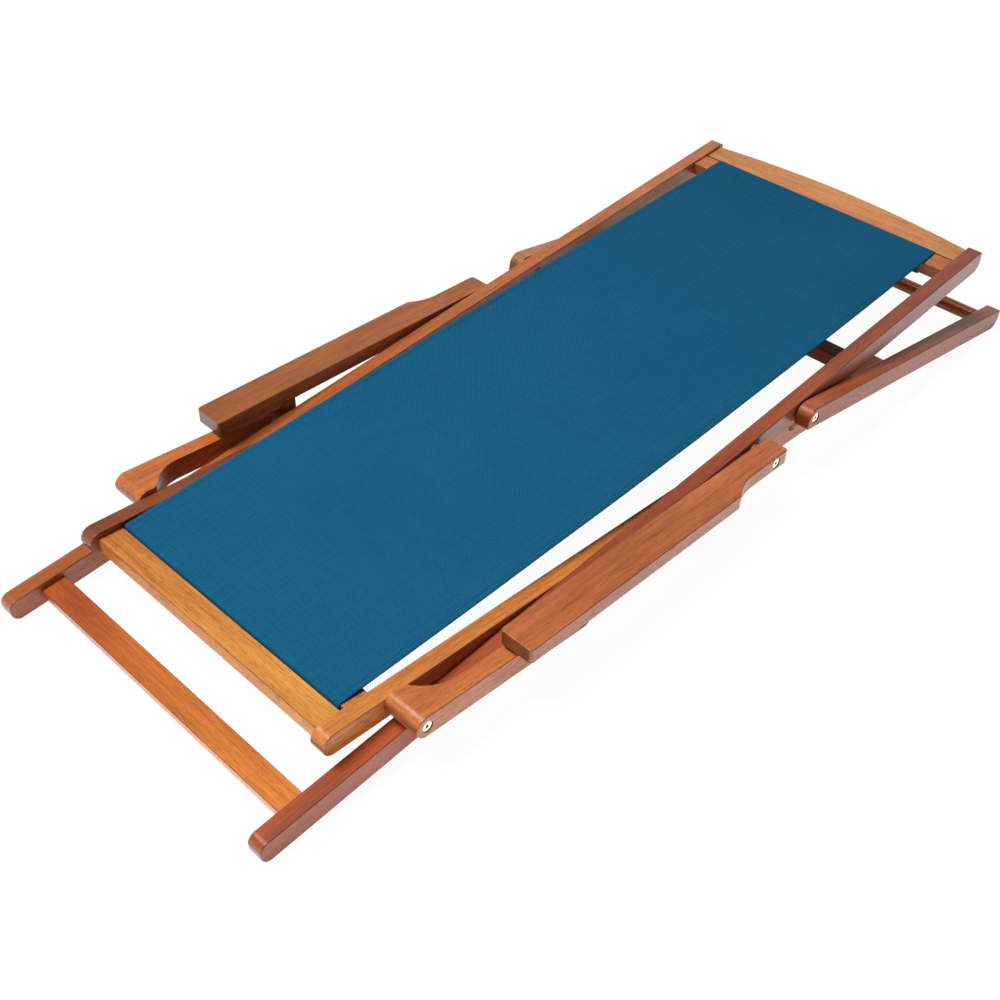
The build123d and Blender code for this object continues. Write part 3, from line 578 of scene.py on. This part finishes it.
solid = add(stitching, "GeometryNodeRealizeInstances", {"Geometry": laid.outputs["Instances"]})
coloured = add(stitching, "GeometryNodeSetMaterial", {"Geometry": solid.outputs["Geometry"], "Material": thread})
add(stitching, "NodeGroupOutput", {"Geometry": coloured.outputs["Geometry"]})
sewing = seam_guide.modifiers.new("lockstitch", "NODES")
sewing.node_group = stitching
sewing[pitch_socket.identifier] = stitch_pitch
sewing[length_socket.identifier] = stitch_length
sewing[thread_socket.identifier] = thread_diameter
bpy.context.view_layer.update()
stitch_mesh = bpy.data.meshes.new_from_object(seam_guide.evaluated_get(bpy.context.evaluated_depsgraph_get()))
stitch_mesh.name = "sling_stitches"
stitches = bpy.data.objects.new("sling_stitches", stitch_mesh)
bpy.context.scene.collection.objects.link(stitches)
bpy.data.objects.remove(seam_guide)

# The cloth and its stitches are fixed in place as they lie, and the CAD sling is hidden
for piece in (cloth, stitches):
    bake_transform(piece)
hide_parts("sling")

# Studio
# The chair lies on a seamless floor of white paper, under one broad soft lamp and inside an even white surround.
floor_reach = 15
floor_corners = [(side_x * floor_reach, side_y * floor_reach, 0)
                 for side_x, side_y in ((-1, -1), (1, -1), (1, 1), (-1, 1))]
floor_mesh = bpy.data.meshes.new("floor")
floor_mesh.from_pydata(floor_corners, [], [(0, 1, 2, 3)])
floor = bpy.data.objects.new("floor", floor_mesh)
bpy.context.scene.collection.objects.link(floor)
white = bpy.data.materials.new("white_paper_floor")
white.use_nodes = True
white_tree = white.node_tree
white_shader = white_tree.nodes["Principled BSDF"]
white_shader.inputs["Base Color"].default_value = linear("#F4F4F4")
white_shader.inputs["Roughness"].default_value = 0.9
white_shader.inputs["Specular IOR Level"].default_value = 0.0
ray = add(white_tree, "ShaderNodeLightPath")
mirrored_ray = add(white_tree, "ShaderNodeMath",
                   {0: ray.outputs["Is Glossy Ray"], 1: ray.outputs["Is Transmission Ray"]}, operation="MAXIMUM")
lift = add(white_tree, "ShaderNodeMapRange", {"Value": mirrored_ray.outputs["Value"], "To Min": 0.45, "To Max": 0.9})
white_shader.inputs["Emission Color"].default_value = (1, 1, 1, 1)
white_tree.links.new(lift.outputs["Result"], white_shader.inputs["Emission Strength"])
# The opened chair stands on the feet of its back frame, which then reach below the folded chair's floor. So that they
# show, the camera sees the floor as a thin veil before the white surround, with the object's shadow on it.
veil = 0.07
thinned = add(white_tree, "ShaderNodeMath", {0: ray.outputs["Is Camera Ray"], 1: 1 - veil}, operation="MULTIPLY")
see_through = add(white_tree, "ShaderNodeMath", {0: thinned.outputs["Value"], 1: ray.outputs["Is Shadow Ray"]},
                  operation="MAXIMUM")
clear = add(white_tree, "ShaderNodeBsdfTransparent")
floor_finish = add(white_tree, "ShaderNodeMixShader",
                   {0: see_through.outputs["Value"], 1: white_shader.outputs["BSDF"], 2: clear.outputs["BSDF"]})
white_tree.links.new(floor_finish.outputs["Shader"], white_tree.nodes["Material Output"].inputs["Surface"])
floor_mesh.materials.append(white)

world = bpy.data.worlds.new("white_surround")
bpy.context.scene.world = world
world.use_nodes = True
world_tree = world.node_tree
backing = world_tree.nodes["Background"]
backing.inputs["Color"].default_value = (1, 1, 1, 1)
world_ray = add(world_tree, "ShaderNodeLightPath")
# Reflections show the white backdrop up to 25 degrees above the floor, fading into a grey ceiling at 40
outlook = add(world_tree, "ShaderNodeTexCoord")
height = add(world_tree, "ShaderNodeSeparateXYZ", {"Vector": outlook.outputs["Generated"]})
backdrop = add(world_tree, "ShaderNodeMapRange",
               {"Value": height.outputs["Z"], "From Min": 0.42, "From Max": 0.64, "To Min": 1.0, "To Max": 0.35})
mirrored = add(world_tree, "ShaderNodeMath", {0: world_ray.outputs["Is Glossy Ray"], 1: backdrop.outputs["Result"]},
               operation="MULTIPLY")
seen = add(world_tree, "ShaderNodeMath",
           {0: world_ray.outputs["Is Camera Ray"], 1: world_ray.outputs["Is Transmission Ray"]}, operation="MAXIMUM")
bright = add(world_tree, "ShaderNodeMath", {0: seen.outputs["Value"], 1: mirrored.outputs["Value"]},
             operation="MAXIMUM")
surround = add(world_tree, "ShaderNodeMapRange", {"Value": bright.outputs["Value"], "To Min": 0.08, "To Max": 1.0})
world_tree.links.new(surround.outputs["Result"], backing.inputs["Strength"])

# One broad soft light from above, a little behind the chair and towards its foot end, as wide as 24 degrees of sky
to_lamp = Vector((-0.26, 0.24, 0.93))
lamp_data = bpy.data.lights.new("soft_top_light", "SUN")
lamp_data.energy = 3.45
lamp_data.angle = radians(24)
lamp = bpy.data.objects.new("soft_top_light", lamp_data)
lamp.rotation_euler = to_lamp.to_track_quat("Z", "Y").to_euler()
bpy.context.scene.collection.objects.link(lamp)

# The camera stands where the photograph's did: over the foot end, on the sitter's left, looking down at 41 degrees
eye = Vector((-1.12665, -0.98415, 1.20655))
aim = Vector((-0.17235, -0.05618, 0.04469))
camera_roll = radians(0.76)
ahead = (aim - eye).normalized()
level = ahead.cross(Vector((0, 0, 1))).normalized()
above = level.cross(ahead)
right = cos(camera_roll) * level + sin(camera_roll) * above
over = -sin(camera_roll) * level + cos(camera_roll) * above
camera_data = bpy.data.cameras.new("camera")
camera_data.sensor_width = 36.0
camera_data.lens = 49.55
camera_data.shift_y = -0.0016
camera = bpy.data.objects.new("camera", camera_data)
camera.matrix_world = Matrix.Translation(eye) @ Matrix((right, over, -ahead)).transposed().to_4x4()
bpy.context.scene.collection.objects.link(camera)
bpy.context.scene.camera = camera
bpy.context.scene.view_settings.view_transform = "Standard"
